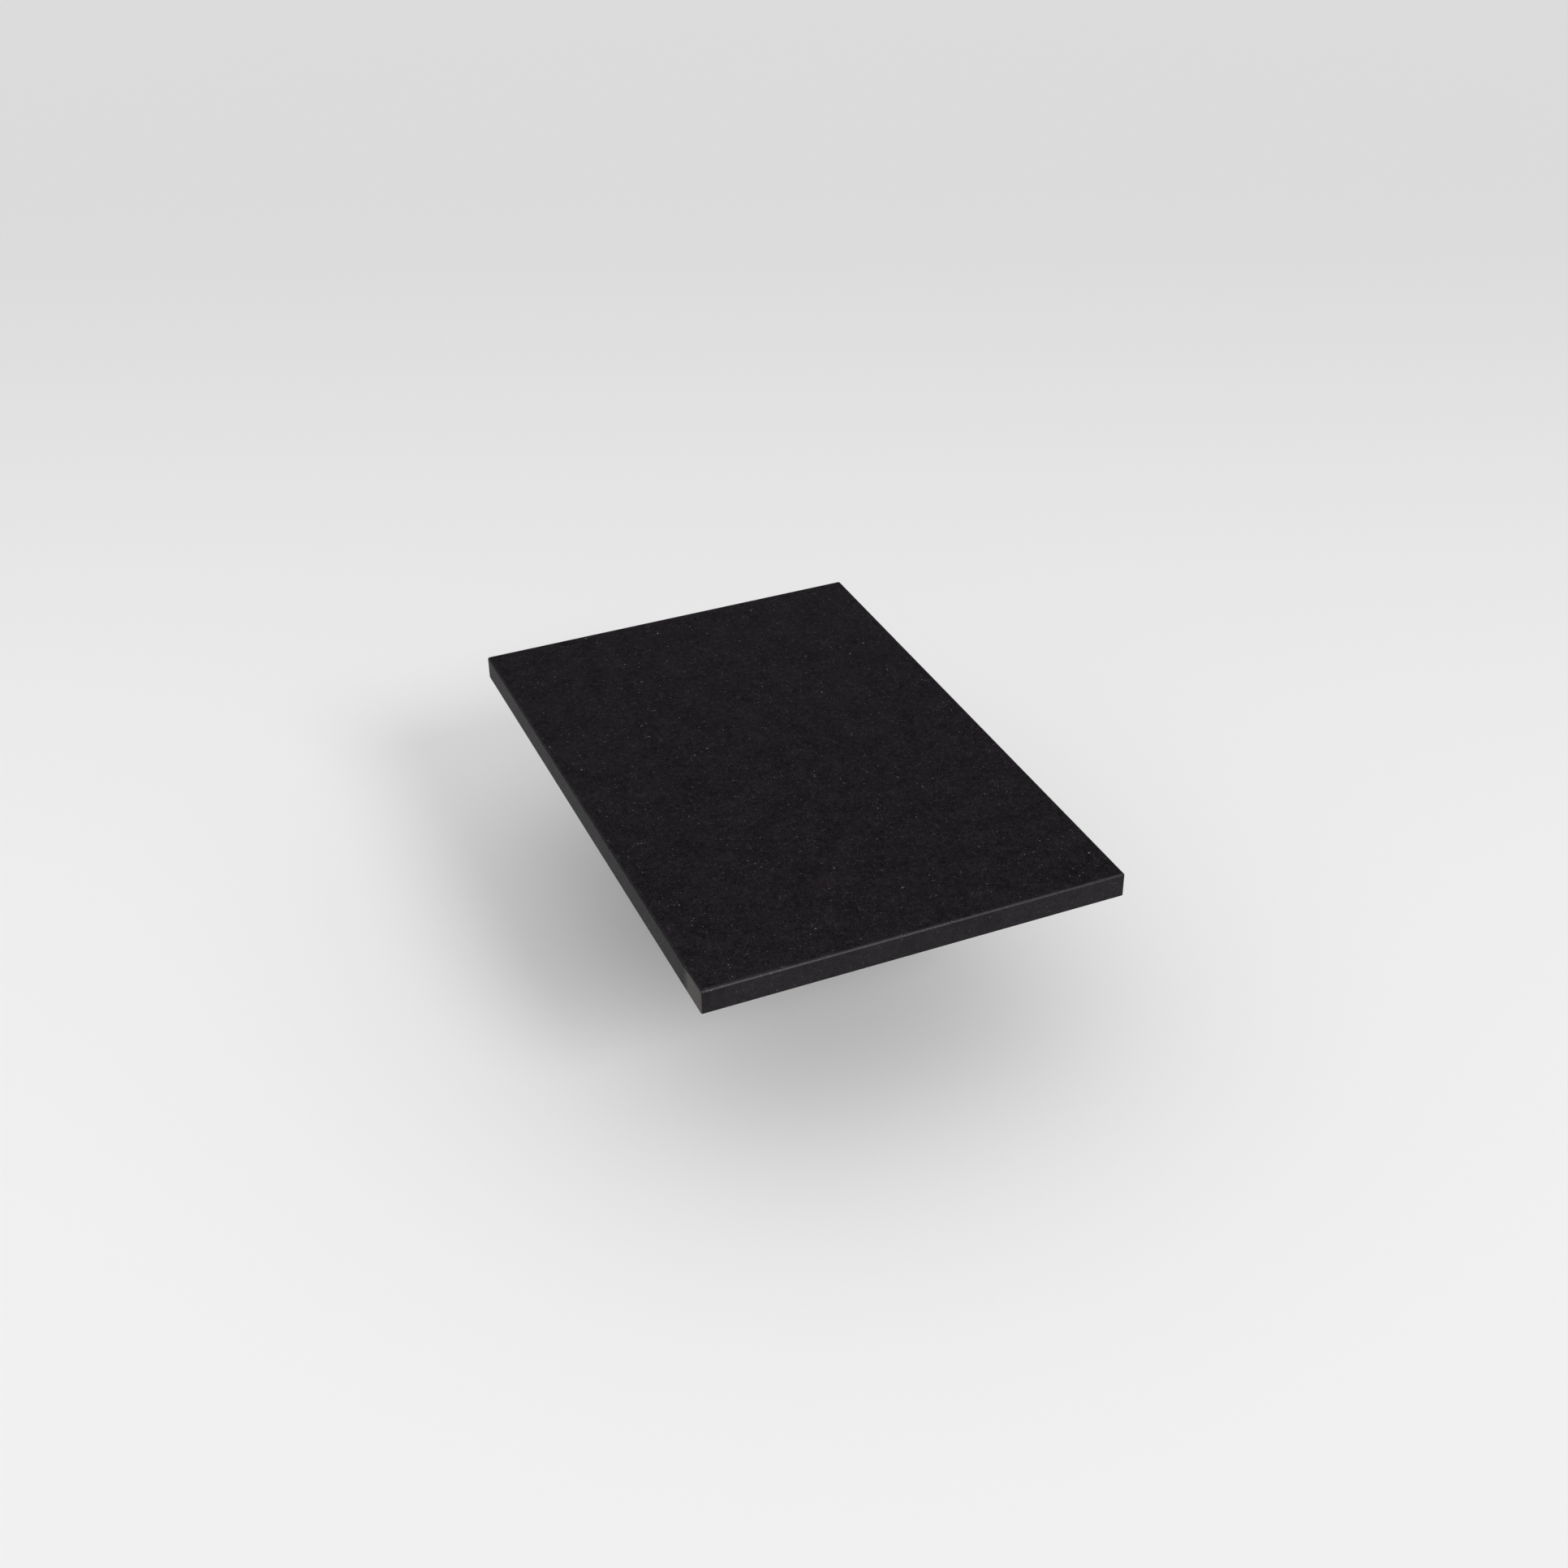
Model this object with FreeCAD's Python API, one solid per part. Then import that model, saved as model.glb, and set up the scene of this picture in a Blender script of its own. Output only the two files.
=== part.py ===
"""A polished granite slab for leatherwork, on four self-adhesive rubber feet.

Frame: X runs along the slab's short side, Y along its long side and Z up. The origin is the middle
of the footprint, on the surface that the feet stand on. Sizes are in millimetres.
"""
import FreeCAD
import Part
import os

# The stone.
SLAB_WIDTH = 200.0
SLAB_LENGTH = 300.0
SLAB_THICKNESS = 12.0
TOP_ARRIS = 0.7
BOTTOM_ARRIS = 0.4
TOP_CORNER_RADIUS = 0.2  # of the flat top's corners, inside the arris

# The feet: moulded rubber discs, widest where they are stuck to the stone.
FOOT_BASE_DIAMETER = 16.0
FOOT_HEIGHT = 3.2
FOOT_TAPER = 1.0
FOOT_RIM_RADIUS = 0.6
FOOT_INSET = 24.0

# The adhesive discs between the feet and the stone.
ADHESIVE_THICKNESS = 0.25
ADHESIVE_MARGIN = 0.5

SLAB_UNDERSIDE = FOOT_HEIGHT + ADHESIVE_THICKNESS
UPRIGHT_CORNER_RADIUS = TOP_CORNER_RADIUS + max(TOP_ARRIS, BOTTOM_ARRIS)

SAME_HEIGHT = 1e-6


def edges_at(solid, height):
    """The edges of a solid that lie wholly at one height."""
    found = []
    for edge in solid.Edges:
        box = edge.BoundBox
        if abs(box.ZMin - height) < SAME_HEIGHT and abs(box.ZMax - height) < SAME_HEIGHT:
            found.append(edge)
    return found


def upright_edges(solid):
    """The edges of a block that run from its bottom to its top."""
    return [edge for edge in solid.Edges if edge.BoundBox.ZLength > SLAB_THICKNESS / 2]


def granite_slab():
    """The block of stone, with eased corners and an arris round its top and its bottom."""
    corner = FreeCAD.Vector(-SLAB_WIDTH / 2, -SLAB_LENGTH / 2, SLAB_UNDERSIDE)
    block = Part.makeBox(SLAB_WIDTH, SLAB_LENGTH, SLAB_THICKNESS, corner)
    eased = block.makeFillet(UPRIGHT_CORNER_RADIUS, upright_edges(block))
    top_done = eased.makeChamfer(TOP_ARRIS, edges_at(eased, SLAB_UNDERSIDE + SLAB_THICKNESS))
    return top_done.makeChamfer(BOTTOM_ARRIS, edges_at(top_done, SLAB_UNDERSIDE))


def foot(x, y):
    """One foot: a tapered disc with a rounded rim round its tread."""
    base_radius = FOOT_BASE_DIAMETER / 2
    middle = FreeCAD.Vector(x, y, 0)
    disc = Part.makeCone(base_radius - FOOT_TAPER, base_radius, FOOT_HEIGHT, middle)
    return disc.makeFillet(FOOT_RIM_RADIUS, edges_at(disc, 0))


def adhesive(x, y):
    """The adhesive disc on top of one foot, a little smaller than the foot's base."""
    middle = FreeCAD.Vector(x, y, FOOT_HEIGHT)
    return Part.makeCylinder(FOOT_BASE_DIAMETER / 2 - ADHESIVE_MARGIN, ADHESIVE_THICKNESS, middle)


def foot_places():
    """The name and the middle of each foot, a fixed inset from the slab's sides."""
    places = {}
    for depth_name, depth in (("front", -1), ("back", 1)):
        for side_name, side in (("left", -1), ("right", 1)):
            x = side * (SLAB_WIDTH / 2 - FOOT_INSET)
            y = depth * (SLAB_LENGTH / 2 - FOOT_INSET)
            places[f"{depth_name}_{side_name}"] = (x, y)
    return places


def all_parts():
    """Every piece of the object, by the name of its node."""
    parts = {"granite_slab": granite_slab()}
    for name, (x, y) in foot_places().items():
        parts[f"foot_{name}"] = foot(x, y)
        parts[f"adhesive_{name}"] = adhesive(x, y)
    return parts


os.makedirs("parts", exist_ok=True)
for node, shape in all_parts().items():
    shape.exportStep(f"parts/{node}.step")
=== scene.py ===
"""The looks of a polished black granite slab on rubber feet, in metres and the CAD model's frame."""
import math
import random
import bpy
from mathutils import Matrix, Vector


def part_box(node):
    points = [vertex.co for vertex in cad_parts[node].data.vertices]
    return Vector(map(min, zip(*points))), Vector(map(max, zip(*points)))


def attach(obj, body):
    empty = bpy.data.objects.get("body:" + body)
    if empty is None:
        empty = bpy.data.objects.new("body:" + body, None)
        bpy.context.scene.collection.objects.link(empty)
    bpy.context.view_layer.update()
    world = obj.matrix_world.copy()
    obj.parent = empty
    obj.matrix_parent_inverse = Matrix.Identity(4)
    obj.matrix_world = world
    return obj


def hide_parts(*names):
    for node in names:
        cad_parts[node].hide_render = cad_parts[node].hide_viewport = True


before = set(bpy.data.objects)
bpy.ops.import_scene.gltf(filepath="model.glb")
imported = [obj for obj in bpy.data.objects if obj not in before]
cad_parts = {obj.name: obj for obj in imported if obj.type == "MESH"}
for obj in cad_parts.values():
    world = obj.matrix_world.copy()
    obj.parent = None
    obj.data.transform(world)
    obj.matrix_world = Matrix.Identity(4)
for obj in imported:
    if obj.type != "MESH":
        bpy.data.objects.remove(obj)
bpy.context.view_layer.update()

MM = 0.001
BODY = "root"

# The stone, with its edge sizes as the CAD model has them.
SLAB_LOW, SLAB_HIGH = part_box("granite_slab")
WIDTH = SLAB_HIGH.x - SLAB_LOW.x
LENGTH = SLAB_HIGH.y - SLAB_LOW.y
THICKNESS = SLAB_HIGH.z - SLAB_LOW.z
TOP_ARRIS = 0.7 * MM
BOTTOM_ARRIS = 0.4 * MM
UPRIGHT_RADIUS = 0.9 * MM
TOP_EASE = 0.42 * MM
BOTTOM_EASE = 0.3 * MM
FLAT_INSET = 2.5 * MM
EASE_STEPS = 6
CORNER_STEPS = 10

# The chips in the slab's edges, with their radii in millimetres and their depths in radii.
CHIPS_PER_METRE = 34
CHIP_RADII = (0.18, 0.5)
CHIP_DEPTHS = (0.25, 0.45)
TOP_CHIP_SHARE = 0.6
CHIP_SEED = 41

# The mesh is finer round each chip.
PLAIN_SPACING = 4 * MM
CHIP_SPACING = 0.09 * MM

FEET = ("front_left", "front_right", "back_left", "back_right")
LATHE_STEPS = 96
ARC_STEPS = 6

# The camera stands off the front left of the slab. Lengths are in slab widths.
CAMERA_DISTANCE = 5.067
CAMERA_SIDE = 22.86
CAMERA_HEIGHT = 33.21
CAMERA_HEADING = 22.97
CAMERA_PITCH = 33.39
CAMERA_ROLL = -0.79
CAMERA_LENS = 48.44

# The floor. Its colour is painted lighter near the camera and darker ahead of it, as painted light
# and shade, and it blends into the backdrop far away, in metres.
FLOAT_HEIGHT = 88 * MM
FLOOR_SIZE = 60.0
FLOOR_NEAR_PAINTED_LIGHT, FLOOR_FAR_PAINTED_SHADE, FLOOR_HORIZON = 0.9, 0.72, 0.82
PAINTED_SHADE_FADE = (-0.35, 1.2)
HORIZON_FADE = (1.5, 6.0)

# The light. Backdrop levels are by the sine of the height above the horizon.
EVEN_LIGHT = 0.81
BACKDROP_LEVELS = ((0.0, 0.79), (0.3, 0.6), (0.37, 0.05), (0.645, 0.05),
                   (0.705, 0.7), (0.85, 1.1), (0.92, 1.1), (0.97, 0.15))


# ---- Meshes ----

def new_piece(name, vertices, faces, materials, face_slots=None):
    """A smooth-shaded mesh object that rides on the slab's body."""
    mesh = bpy.data.meshes.new(name)
    mesh.from_pydata(vertices, [], faces)
    for material in materials:
        mesh.materials.append(material)
    for polygon in mesh.polygons:
        polygon.use_smooth = True
    if face_slots:
        mesh.polygons.foreach_set("material_index", face_slots)
    mesh.update()
    piece = bpy.data.objects.new(name, mesh)
    bpy.context.scene.collection.objects.link(piece)
    return piece


def eased_corner(before, corner, after, radius):
    """The points of a small arc that rounds one corner of a section."""
    corner = Vector(corner)
    towards_before = (Vector(before) - corner).normalized()
    towards_after = (Vector(after) - corner).normalized()
    half_angle = towards_before.angle(towards_after) / 2
    tangent = radius / math.tan(half_angle)
    middle = (towards_before + towards_after).normalized()
    centre = corner + middle * (radius / math.sin(half_angle))
    first = (corner + towards_before * tangent - centre).normalized()
    last = (corner + towards_after * tangent - centre).normalized()
    return [tuple(centre + first.slerp(last, step / EASE_STEPS) * radius)
            for step in range(EASE_STEPS + 1)]


def edge_section():
    """The slab's edge in section from its underside to its top, as (inset, height) points.

    It also gives the number of points below the top arris.
    """
    corners = (
        (2 * BOTTOM_ARRIS, 0),
        (BOTTOM_ARRIS, 0),
        (0, BOTTOM_ARRIS),
        (0, THICKNESS - TOP_ARRIS),
        (TOP_ARRIS, THICKNESS),
        (2 * TOP_ARRIS, THICKNESS),
    )
    eases = (BOTTOM_EASE, BOTTOM_EASE, TOP_EASE, TOP_EASE)
    points = []
    for index, ease in enumerate(eases):
        points += eased_corner(*corners[index:index + 3], ease)
        if index == 1:
            wall_low = points[-1][1]
    wall_high = THICKNESS - TOP_ARRIS - TOP_EASE * math.tan(math.radians(22.5))
    wall = [(0, wall_low + step * MM) for step in (0.15, 0.35, 0.7, 1.5)]
    wall += [(0, THICKNESS / 2)]
    wall += [(0, wall_high - step * MM) for step in (1.5, 0.7, 0.35, 0.15)]
    below = 2 * (EASE_STEPS + 1)
    return points[:below] + wall + points[below:], below + len(wall)


def edge_chips(rng, length):
    """The chips along one edge of the slab: where along it, how wide, how deep and how high up."""
    chips = []
    for _ in range(round(length * CHIPS_PER_METRE)):
        along = rng.uniform(-0.48, 0.48) * length
        radius = rng.uniform(*CHIP_RADII) * MM
        depth = radius * rng.uniform(*CHIP_DEPTHS)
        at_top = rng.random() < TOP_CHIP_SHARE
        chips.append((along, radius, depth, at_top))
    return chips


def stations_along(length, chips):
    """Places along an edge, from -1 to 1, close together where a chip is."""
    places = {0.0}
    count = math.ceil(length / PLAIN_SPACING)
    places.update((2 * step / count - 1) * length / 2 for step in range(count + 1))
    for along, radius, _, _ in chips:
        reach = math.ceil(1.2 * radius / CHIP_SPACING)
        places.update(along + step * CHIP_SPACING for step in range(-reach, reach + 1))
    kept = []
    for place in sorted(places):
        if not kept or place - kept[-1] > CHIP_SPACING / 3:
            kept.append(place)
    kept[-1] = length / 2
    return [2 * place / length for place in kept]


def outline_stations(rng):
    """Stations round the slab: a place on its core rectangle, from -1 to 1, and a normal."""
    stations, chip_points = [], []
    for quarter in range(4):
        turn = quarter * math.pi / 2
        normal = (round(math.sin(turn)), -round(math.cos(turn)))
        along_axis = (-normal[1], normal[0])
        length = WIDTH if normal[0] == 0 else LENGTH
        core = length - 2 * UPRIGHT_RADIUS
        chips = edge_chips(rng, core)
        half = (WIDTH if normal[0] else LENGTH) / 2
        for along, radius, depth, at_top in chips:
            height = THICKNESS - TOP_ARRIS if at_top else BOTTOM_ARRIS * 0.5
            rise = 0.35 if at_top else -0.7
            inward = Vector((-normal[0], -normal[1], -rise)).normalized()
            x = normal[0] * half + along_axis[0] * along
            y = normal[1] * half + along_axis[1] * along
            chip_points.append((Vector((x, y, height)), radius, depth, inward))
        for place in stations_along(core, chips):
            stations.append((
                normal[0] + along_axis[0] * place, normal[1] + along_axis[1] * place, *normal))
        for step in range(1, CORNER_STEPS):
            angle = turn - math.pi / 2 + step * math.pi / 2 / CORNER_STEPS
            corner = (normal[0] + along_axis[0], normal[1] + along_axis[1])
            stations.append((*corner, math.cos(angle), math.sin(angle)))
    return stations, chip_points


def ring(stations, inset, radius, height):
    """One loop of points round the slab, at an inset from its sides."""
    core_x = WIDTH / 2 - inset - radius
    core_y = LENGTH / 2 - inset - radius
    return [Vector((x * core_x + nx * radius, y * core_y + ny * radius, height))
            for x, y, nx, ny in stations]


def cut_chips(points, chip_points, rng):
    """Pushes points near a chip's middle into the stone, with a slightly ragged floor."""
    for middle, radius, depth, inward in chip_points:
        for point in points:
            if abs(point.x - middle.x) > radius or abs(point.y - middle.y) > radius:
                continue
            share = (point - middle).length / radius
            if share < 1:
                point += inward * depth * (1 - share * share) ** 0.6 * rng.uniform(0.8, 1.1)


def slab_mesh(materials):
    """The slab, with eased edges, small chips and a flat top and underside.

    The top arris is polished on the short sides and finished like the side on the long ones.
    """
    rng = random.Random(CHIP_SEED)
    stations, chip_points = outline_stations(rng)
    section, below_arris = edge_section()
    loops = [ring(stations, FLAT_INSET, UPRIGHT_RADIUS, 0)]
    loops += [ring(stations, inset, UPRIGHT_RADIUS - inset, height) for inset, height in section]
    loops += [ring(stations, FLAT_INSET, UPRIGHT_RADIUS, THICKNESS)]
    points = [point for loop in loops for point in loop]
    cut_chips(points, chip_points, rng)
    for point in points:
        point.z += SLAB_LOW.z
    count = len(stations)
    underside, side, arris, top = range(4)
    top_from = below_arris + 2 * (EASE_STEPS + 1)
    faces, slots = [tuple(reversed(range(count)))], [underside]
    for row in range(len(loops) - 1):
        for column in range(count):
            following = (column + 1) % count
            short_side = abs(stations[column][3]) > abs(stations[column][2])
            slot = underside if row < EASE_STEPS else top if row >= top_from else side
            if short_side and below_arris < row < top_from:
                slot = arris
            low, high = row * count, (row + 1) * count
            faces.append((low + column, low + following, high + following, high + column))
            slots.append(slot)
    last = (len(loops) - 1) * count
    faces.append(tuple(range(last, last + count)))
    slots.append(top)
    return new_piece("granite_slab_stone", points, faces, materials, slots)


def lathe(name, centre, profile, materials):
    """A turned piece: a closed profile of (radius, height) points, from the axis to the axis."""
    points, rows = [], []
    for radius, height in profile:
        if radius == 0:
            rows.append([len(points)] * LATHE_STEPS)
            points.append((centre.x, centre.y, height))
            continue
        rows.append(list(range(len(points), len(points) + LATHE_STEPS)))
        for step in range(LATHE_STEPS):
            angle = 2 * math.pi * step / LATHE_STEPS
            x = centre.x + radius * math.cos(angle)
            y = centre.y + radius * math.sin(angle)
            points.append((x, y, height))
    faces = []
    for low, high in zip(rows, rows[1:]):
        for step in range(LATHE_STEPS):
            following = (step + 1) % LATHE_STEPS
            loop = (low[step], low[following], high[following], high[step])
            faces.append(tuple(dict.fromkeys(loop)))
    return new_piece(name, points, faces, materials)


def arc(centre_radius, centre_height, radius, start, end):
    """Points of a profile's arc, with its angles in degrees from the outward direction."""
    points = []
    for step in range(ARC_STEPS + 1):
        angle = math.radians(start + (end - start) * step / ARC_STEPS)
        points.append((centre_radius + radius * math.cos(angle),
                       centre_height + radius * math.sin(angle)))
    return points


def foot_profile(base_radius, low, high):
    """A moulded foot: a dished tread with a groove, a rounded rim, a tapered wall and a base."""
    taper, rim, lip = 1.0 * MM, 0.6 * MM, 0.3 * MM
    tread_radius = base_radius - taper
    dish_radius, dish_depth = 2.6 * MM, 0.3 * MM
    groove_radius, groove_half, groove_depth = 4.6 * MM, 0.35 * MM, 0.25 * MM
    gate_radius, gate_height = 0.45 * MM, 0.12 * MM
    gate_top = low + dish_depth - gate_height
    dish = [(0, gate_top), (gate_radius * 0.8, gate_top), (gate_radius, low + dish_depth)]
    for step in range(1, 7):
        share = step / 6
        dish.append((gate_radius + (dish_radius - gate_radius) * share,
                     low + dish_depth * (1 - share * share)))
    groove = [(groove_radius - groove_half, low)]
    groove += [(groove_radius - groove_half * 0.6, low + groove_depth),
               (groove_radius + groove_half * 0.6, low + groove_depth),
               (groove_radius + groove_half, low)]
    flats = [(dish_radius + 0.15 * MM, low), *groove, (groove_radius + 2 * groove_half, low)]
    rounded_rim = arc(tread_radius - rim, low + rim, rim, -88, -12)
    wall = [(base_radius - 0.25 * MM, high - 0.9 * MM), (base_radius - 0.05 * MM, high - 0.7 * MM),
            (base_radius, high - 0.6 * MM), (base_radius, high - lip / 2),
            (base_radius - 0.1 * MM, high), (base_radius - lip, high), (0, high)]
    return dish + flats + rounded_rim + wall


def adhesive_profile(radius, low, high):
    """A thin disc of adhesive with a slightly bulged edge."""
    half = (high - low) / 2
    edge = arc(radius - half, low + half, half, -90, 90)
    return [(0, low), (radius - 3 * half, low), *edge, (radius - 3 * half, high), (0, high)]


# ---- Materials ----

class Shader:
    """A material with a Principled shader, and short ways to add the nodes that feed it."""

    def __init__(self, name, **constants):
        self.material = bpy.data.materials.new(name)
        self.material.use_nodes = True
        self.nodes = self.material.node_tree.nodes
        self.links = self.material.node_tree.links
        self.surface = self.nodes["Principled BSDF"]
        for socket, value in constants.items():
            self.surface.inputs[socket.replace("_", " ")].default_value = value
        self.place = self.nodes.new("ShaderNodeTexCoord").outputs["Object"]

    def feed(self, node, sockets):
        """Sets or links each named input of a node."""
        for socket, value in sockets.items():
            target = node.inputs[socket]
            if isinstance(value, bpy.types.NodeSocket):
                self.links.new(value, target)
            else:
                target.default_value = value

    def moved(self, scale=(1, 1, 1), shift=(0, 0, 0), turn=(0, 0, 0)):
        """The coordinates, stretched, shifted and turned."""
        node = self.nodes.new("ShaderNodeMapping")
        self.feed(node, {"Vector": self.place, "Scale": scale, "Location": shift, "Rotation": turn})
        return node.outputs["Vector"]

    def noise(self, size, detail=2.0, roughness=0.5, place=None):
        """Cloudy noise with features of about one size, in metres."""
        node = self.nodes.new("ShaderNodeTexNoise")
        self.feed(node, {"Vector": place or self.place, "Scale": 1 / size,
                         "Detail": detail, "Roughness": roughness})
        return node.outputs["Fac"]

    def cells(self, size, place=None):
        """Cells of about one size: the distance to each middle, and a random colour for each."""
        node = self.nodes.new("ShaderNodeTexVoronoi")
        self.feed(node, {"Vector": place or self.place, "Scale": 1 / size})
        return node.outputs["Distance"], node.outputs["Color"]

    def split(self, color):
        """The three parts of a colour, each a number."""
        node = self.nodes.new("ShaderNodeSeparateColor")
        self.feed(node, {"Color": color})
        return node.outputs

    def math(self, operation, first, second=0.0):
        """One sum of two numbers."""
        node = self.nodes.new("ShaderNodeMath")
        node.operation = operation
        self.feed(node, {0: first, 1: second})
        return node.outputs[0]

    def fade(self, value, start, end, low=0.0, high=1.0):
        """A smooth change from low to high, as a value goes from start to end."""
        node = self.nodes.new("ShaderNodeMapRange")
        node.interpolation_type = "SMOOTHSTEP"
        self.feed(node, {"Value": value, "From Min": start, "From Max": end,
                         "To Min": low, "To Max": high})
        return node.outputs["Result"]

    def mix(self, share, first, second):
        """One colour going over into another."""
        node = self.nodes.new("ShaderNodeMix")
        node.data_type = "RGBA"
        named = {"Factor_Float": share, "A_Color": first, "B_Color": second}
        for socket in node.inputs:
            if socket.identifier in named:
                value = named[socket.identifier]
                if isinstance(value, bpy.types.NodeSocket):
                    self.links.new(value, socket)
                else:
                    socket.default_value = value
        return next(out for out in node.outputs if out.identifier == "Result_Color")

    def bump(self, height, distance):
        """Feeds the surface's normal from a height, with its depth in metres."""
        node = self.nodes.new("ShaderNodeBump")
        self.feed(node, {"Height": height, "Distance": distance, "Strength": 1.0})
        self.links.new(node.outputs["Normal"], self.surface.inputs["Normal"])

    def give(self, socket, value):
        """Feeds one input of the surface."""
        self.links.new(value, self.surface.inputs[socket])


def grey(level, tint=(1.0, 1.0, 1.0)):
    """A colour from a linear level and a slight tint."""
    return (level * tint[0], level * tint[1], level * tint[2], 1.0)


PLUM = (1.12, 0.89, 1.19)
COOL = (0.98, 1.0, 1.02)
BROWN = (1.25, 0.98, 0.78)

# The granite's contrast at each scale. A speck is a cell size in mm, a share, a reach and a level.
GRAIN = 1.65
MOTTLE = 0.65
PATCHES = 0.6
SPECKS = ((0.9, 0.6, 0.27, 0.095), (1.4, 0.3, 0.21, 0.19), (3.6, 0.18, 0.11, 0.32))

# The warm, pale patch at the front end of the left side.
PATCH_COLOR = grey(0.062, (1.09, 0.97, 0.94))
PATCH_EDGE = (14 * MM, 20 * MM)
PATCH_STRETCH = 40


def speckle(shader, size, share, reach, place):
    """A mask of small specks: a share of cells holds one, and reach is its radius in cells."""
    distance, color = shader.cells(size, place)
    parts = shader.split(color)
    chosen = shader.fade(parts["Red"], 1 - share, 1 - share * 0.75)
    width = shader.math("MULTIPLY", parts["Green"], reach)
    shape = shader.fade(shader.math("SUBTRACT", distance, width), reach * 0.35, 0.0)
    strength = shader.fade(parts["Blue"], 0.0, 1.0, 0.35, 1.0)
    return shader.math("MULTIPLY", shader.math("MULTIPLY", shape, chosen), strength)


def swing(shader, noise, amount):
    """A noise round its middle, so that it lightens and darkens by up to an amount."""
    return shader.math("MULTIPLY", shader.math("SUBTRACT", noise, 0.5), 2 * amount)


def granite_color(shader, level, contrast, speck_gain, tint):
    """Near-black granite: fine grain, mottling, dark patches, and clusters of pale specks."""
    ragged = shader.noise(0.9 * MM, detail=1)
    wander = shader.nodes.new("ShaderNodeVectorMath")
    wander.operation = "MULTIPLY_ADD"
    shader.feed(wander, {0: ragged, 1: (0.12 * MM,) * 3, 2: shader.place})
    place = wander.outputs[0]
    grain = shader.noise(0.75 * MM, detail=2, roughness=0.6)
    mottle = shader.noise(3.0 * MM, detail=3, roughness=0.6)
    patches = shader.noise(12 * MM, detail=2, roughness=0.6)
    lightness = shader.math("ADD", swing(shader, grain, GRAIN * contrast),
                            swing(shader, mottle, MOTTLE * contrast))
    lightness = shader.math("ADD", lightness, swing(shader, patches, PATCHES * contrast))
    lightness = shader.math("MAXIMUM", shader.math("ADD", lightness, 1.0), 0.2)
    base = shader.mix(shader.math("MULTIPLY", lightness, level), grey(0), grey(1, tint))
    crowd = shader.fade(mottle, 0.36, 0.66, 0.25, 1.0)
    for size, share, reach, pale in SPECKS:
        specks = speckle(shader, size * MM, share, reach, place)
        specks = shader.math("MULTIPLY", shader.math("MULTIPLY", specks, crowd), speck_gain)
        base = shader.mix(specks, base, grey(pale, COOL))
    return base


def polished_granite(name, roughness, specular):
    """The top or its arris: polished stone, whose shine the grain boundaries break a little."""
    shader = Shader(name, IOR=1.54, Specular_IOR_Level=specular)
    color = granite_color(shader, level=0.0093, contrast=1.0, speck_gain=1.0, tint=PLUM)
    shader.give("Base Color", color)
    pits = shader.noise(0.35 * MM, detail=2)
    smears = shader.noise(24 * MM, detail=3)
    polish = shader.math("ADD", shader.fade(pits, 0.55, 0.8, 0.0, 0.1),
                         shader.fade(smears, 0.3, 0.7, roughness, roughness + 0.02))
    shader.give("Roughness", polish)
    shader.bump(shader.noise(0.5 * MM, detail=2), 0.4e-6)
    return shader.material


def honed_granite():
    """The sides: ground smooth but less shiny than the top, with a few brown stains."""
    shader = Shader("granite_honed_side", IOR=1.5, Specular_IOR_Level=0.135)
    color = granite_color(shader, level=0.0108, contrast=0.85, speck_gain=0.4, tint=(1.09, 0.92, 1.1))
    stains = shader.noise(16 * MM, detail=3, roughness=0.6,
                          place=shader.moved(shift=(0.031, 0.007, 0)))
    color = shader.mix(shader.fade(stains, 0.58, 0.72, 0.0, 0.55), color, grey(0.02, BROWN))
    # The pale patch is measured from the slab's near left corner, with X stretched, so that it
    # stays on the left side.
    reach = shader.nodes.new("ShaderNodeVectorMath")
    reach.operation = "DISTANCE"
    shader.feed(reach, {0: shader.moved(scale=(PATCH_STRETCH, 1, 0.4)),
                        1: (-PATCH_STRETCH * WIDTH / 2, -LENGTH / 2, 0)})
    edge = shader.math("ADD", reach.outputs["Value"], swing(shader, stains, 6 * MM))
    color = shader.mix(shader.fade(edge, *PATCH_EDGE, 1.0, 0.0), color, PATCH_COLOR)
    shader.give("Base Color", color)
    shader.give("Roughness", shader.fade(shader.noise(0.6 * MM, detail=2), 0.3, 0.7, 0.52, 0.64))
    shader.bump(shader.noise(0.7 * MM, detail=3), 4e-6)
    return shader.material


def sawn_granite():
    """The underside: matt grey stone with the saw's faint parallel marks."""
    shader = Shader("granite_sawn", IOR=1.5)
    color = granite_color(shader, level=0.04, contrast=0.8, speck_gain=0.8, tint=COOL)
    marks = shader.nodes.new("ShaderNodeTexWave")
    marks.bands_direction = "X"
    shader.feed(marks, {"Vector": shader.place, "Scale": 1 / (18 * MM), "Distortion": 1.5,
                        "Detail": 3.0, "Detail Scale": 4.0})
    dust = shader.noise(30 * MM, detail=4)
    color = shader.mix(shader.fade(marks.outputs["Fac"], 0.2, 1.0, 0.0, 0.22),
                       color, grey(0.085, COOL))
    color = shader.mix(shader.fade(dust, 0.45, 0.75, 0.0, 0.3), color, grey(0.11, COOL))
    shader.give("Base Color", color)
    shader.give("Roughness", shader.fade(shader.noise(0.8 * MM), 0.3, 0.7, 0.5, 0.72))
    rough = shader.math("ADD", shader.noise(0.6 * MM, detail=3), shader.math(
        "MULTIPLY", marks.outputs["Fac"], 0.8))
    shader.bump(rough, 30e-6)
    return shader.material


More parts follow.
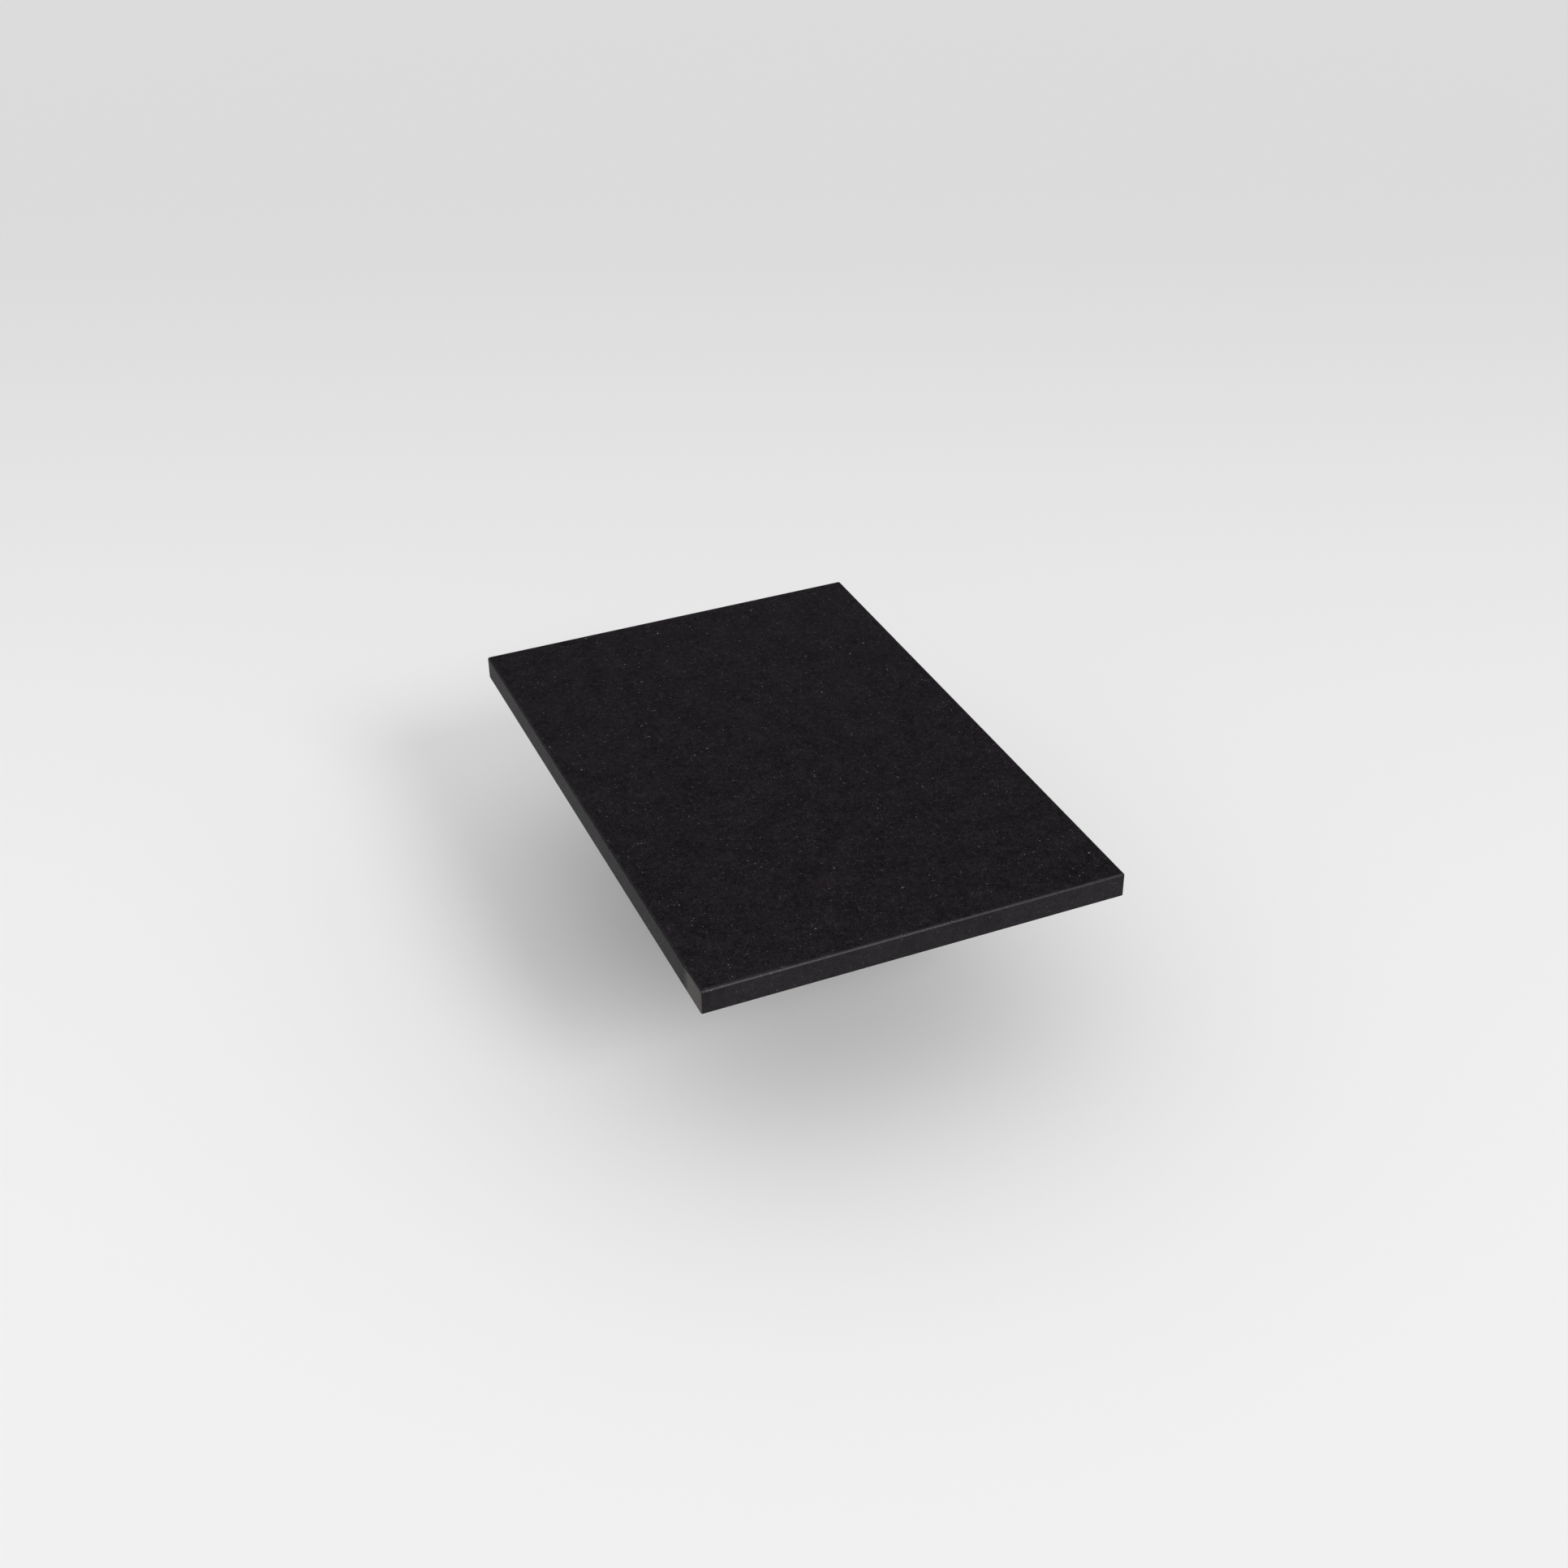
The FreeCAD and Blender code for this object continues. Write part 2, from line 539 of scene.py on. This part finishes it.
def foot_rubber():
    """Black moulded rubber with a fine matt skin and a little dust."""
    shader = Shader("foot_rubber", IOR=1.5)
    dust = shader.noise(2.5 * MM, detail=4, roughness=0.7)
    shader.give("Base Color", shader.mix(shader.fade(dust, 0.45, 0.8, 0.0, 0.5),
                                         grey(0.017), grey(0.05, (1.04, 1.0, 0.94))))
    skin = shader.noise(0.14 * MM, detail=2)
    shader.give("Roughness", shader.fade(skin, 0.3, 0.7, 0.62, 0.82))
    shader.bump(skin, 12e-6)
    return shader.material


def clear_adhesive():
    """Cloudy, slightly yellow acrylic adhesive."""
    shader = Shader("adhesive_film", IOR=1.47)
    bubbles = shader.noise(0.9 * MM, detail=3)
    shader.give("Base Color", shader.mix(shader.fade(bubbles, 0.4, 0.7),
                                         (0.56, 0.53, 0.44, 1.0), (0.68, 0.65, 0.57, 1.0)))
    shader.give("Roughness", shader.fade(bubbles, 0.3, 0.7, 0.3, 0.5))
    shader.bump(bubbles, 8e-6)
    return shader.material


# ---- The pieces ----

def make_slab():
    """The stone, in place of its CAD node."""
    materials = (
        sawn_granite(),
        honed_granite(),
        polished_granite("granite_polished_arris", roughness=0.28, specular=0.25),
        polished_granite("granite_polished_top", roughness=0.08, specular=0.5),
    )
    slab = slab_mesh(materials)
    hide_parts("granite_slab")
    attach(slab, BODY)


def make_foot(place, rubber, film):
    """One rubber foot and its adhesive disc, in place of their CAD nodes."""
    low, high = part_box(f"foot_{place}")
    centre = (low + high) / 2
    foot = lathe(f"rubber_foot_{place}", centre,
                 foot_profile((high.x - low.x) / 2, low.z, high.z), [rubber])
    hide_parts(f"foot_{place}")
    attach(foot, BODY)
    low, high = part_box(f"adhesive_{place}")
    disc = lathe(f"adhesive_disc_{place}", centre,
                 adhesive_profile((high.x - low.x) / 2, low.z, high.z), [film])
    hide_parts(f"adhesive_{place}")
    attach(disc, BODY)


# ---- The camera, the floor and the light ----

def direction(azimuth, elevation):
    """The way to a place, in degrees. Azimuth 0 is in front of the slab and 90 is to its right."""
    azimuth, elevation = math.radians(azimuth), math.radians(elevation)
    return Vector((math.sin(azimuth) * math.cos(elevation),
                   -math.cos(azimuth) * math.cos(elevation),
                   math.sin(elevation)))


def make_camera():
    """The camera, off the front left corner and looking down on the slab."""
    camera = bpy.data.objects.new("camera", bpy.data.cameras.new("camera"))
    camera.data.lens = CAMERA_LENS
    away = direction(-CAMERA_SIDE, CAMERA_HEIGHT) * CAMERA_DISTANCE * WIDTH
    underside = Vector((0, 0, SLAB_LOW.z))
    turned = (Matrix.Rotation(-math.radians(CAMERA_HEADING), 4, "Z")
              @ Matrix.Rotation(math.radians(90 - CAMERA_PITCH), 4, "X")
              @ Matrix.Rotation(math.radians(CAMERA_ROLL), 4, "Z"))
    camera.matrix_world = Matrix.Translation(underside + away) @ turned
    camera.data.clip_start, camera.data.clip_end = 0.01, 50
    bpy.context.scene.collection.objects.link(camera)
    bpy.context.scene.camera = camera


def make_floor():
    """A pale floor, some way below the slab, which floats over it, with painted light near the camera
    and painted shade ahead.
    """
    shader = Shader("floor", Roughness=0.9, Specular_IOR_Level=0.0)
    ahead = shader.nodes.new("ShaderNodeSeparateXYZ")
    shader.links.new(shader.moved(turn=(0, 0, math.radians(CAMERA_HEADING))), ahead.inputs[0])
    # Painted light and shade: the floor's colour is lighter near the camera and darkens ahead of it.
    painted_shade_share = shader.fade(ahead.outputs["Y"], *PAINTED_SHADE_FADE)
    painted_light_and_shade = shader.mix(painted_shade_share, grey(FLOOR_NEAR_PAINTED_LIGHT), grey(FLOOR_FAR_PAINTED_SHADE))
    distance = shader.nodes.new("ShaderNodeVectorMath")
    distance.operation = "LENGTH"
    shader.feed(distance, {0: shader.place})
    horizon = shader.fade(distance.outputs["Value"], *HORIZON_FADE)
    shader.give("Base Color", shader.mix(horizon, painted_light_and_shade, grey(FLOOR_HORIZON)))
    half = FLOOR_SIZE / 2
    mesh = bpy.data.meshes.new("floor")
    corners = [(x * half, y * half, -FLOAT_HEIGHT) for x, y in ((-1, -1), (1, -1), (1, 1), (-1, 1))]
    mesh.from_pydata(corners, [], [(0, 1, 2, 3)])
    mesh.materials.append(shader.material)
    floor = bpy.data.objects.new("floor", mesh)
    bpy.context.scene.collection.objects.link(floor)


def make_key(strength, breadth, azimuth, elevation):
    """A broad, soft and distant light, with its breadth in degrees."""
    lamp = bpy.data.lights.new("key", "SUN")
    lamp.energy = strength
    lamp.angle = math.radians(breadth)
    holder = bpy.data.objects.new("key", lamp)
    holder.rotation_euler = direction(azimuth, elevation).to_track_quat("Z", "Y").to_euler()
    bpy.context.scene.collection.objects.link(holder)


def make_world():
    """Even light for the object, and a background that the camera and polished surfaces see.

    Going up from the horizon, the background is pale, dark and pale, and it is dark overhead.
    """
    world = bpy.data.worlds.new("studio")
    bpy.context.scene.world = world
    world.use_nodes = True
    nodes, links = world.node_tree.nodes, world.node_tree.links
    background = nodes["Background"]
    place = nodes.new("ShaderNodeTexCoord")
    parts = nodes.new("ShaderNodeSeparateXYZ")
    links.new(place.outputs["Generated"], parts.inputs[0])
    levels = nodes.new("ShaderNodeValToRGB")
    while len(levels.color_ramp.elements) < len(BACKDROP_LEVELS):
        levels.color_ramp.elements.new(0.5)
    for element, (height, level) in zip(levels.color_ramp.elements, BACKDROP_LEVELS):
        element.position = height
        element.color = grey(level)
    links.new(parts.outputs["Z"], levels.inputs[0])
    rays = nodes.new("ShaderNodeLightPath")
    seen_directly = nodes.new("ShaderNodeMath")
    seen_directly.operation = "MAXIMUM"
    links.new(rays.outputs["Is Camera Ray"], seen_directly.inputs[0])
    links.new(rays.outputs["Is Glossy Ray"], seen_directly.inputs[1])
    seen = nodes.new("ShaderNodeMix")
    seen.data_type = "RGBA"
    links.new(seen_directly.outputs[0], seen.inputs[0])
    seen.inputs[6].default_value = grey(EVEN_LIGHT)
    links.new(levels.outputs["Color"], seen.inputs[7])
    links.new(seen.outputs[2], background.inputs["Color"])


make_camera()
make_slab()
rubber, film = foot_rubber(), clear_adhesive()
for place in FEET:
    make_foot(place, rubber, film)
make_floor()
make_world()
make_key(strength=0.95, breadth=20, azimuth=20, elevation=35)

bpy.context.scene.view_settings.view_transform = "Standard"
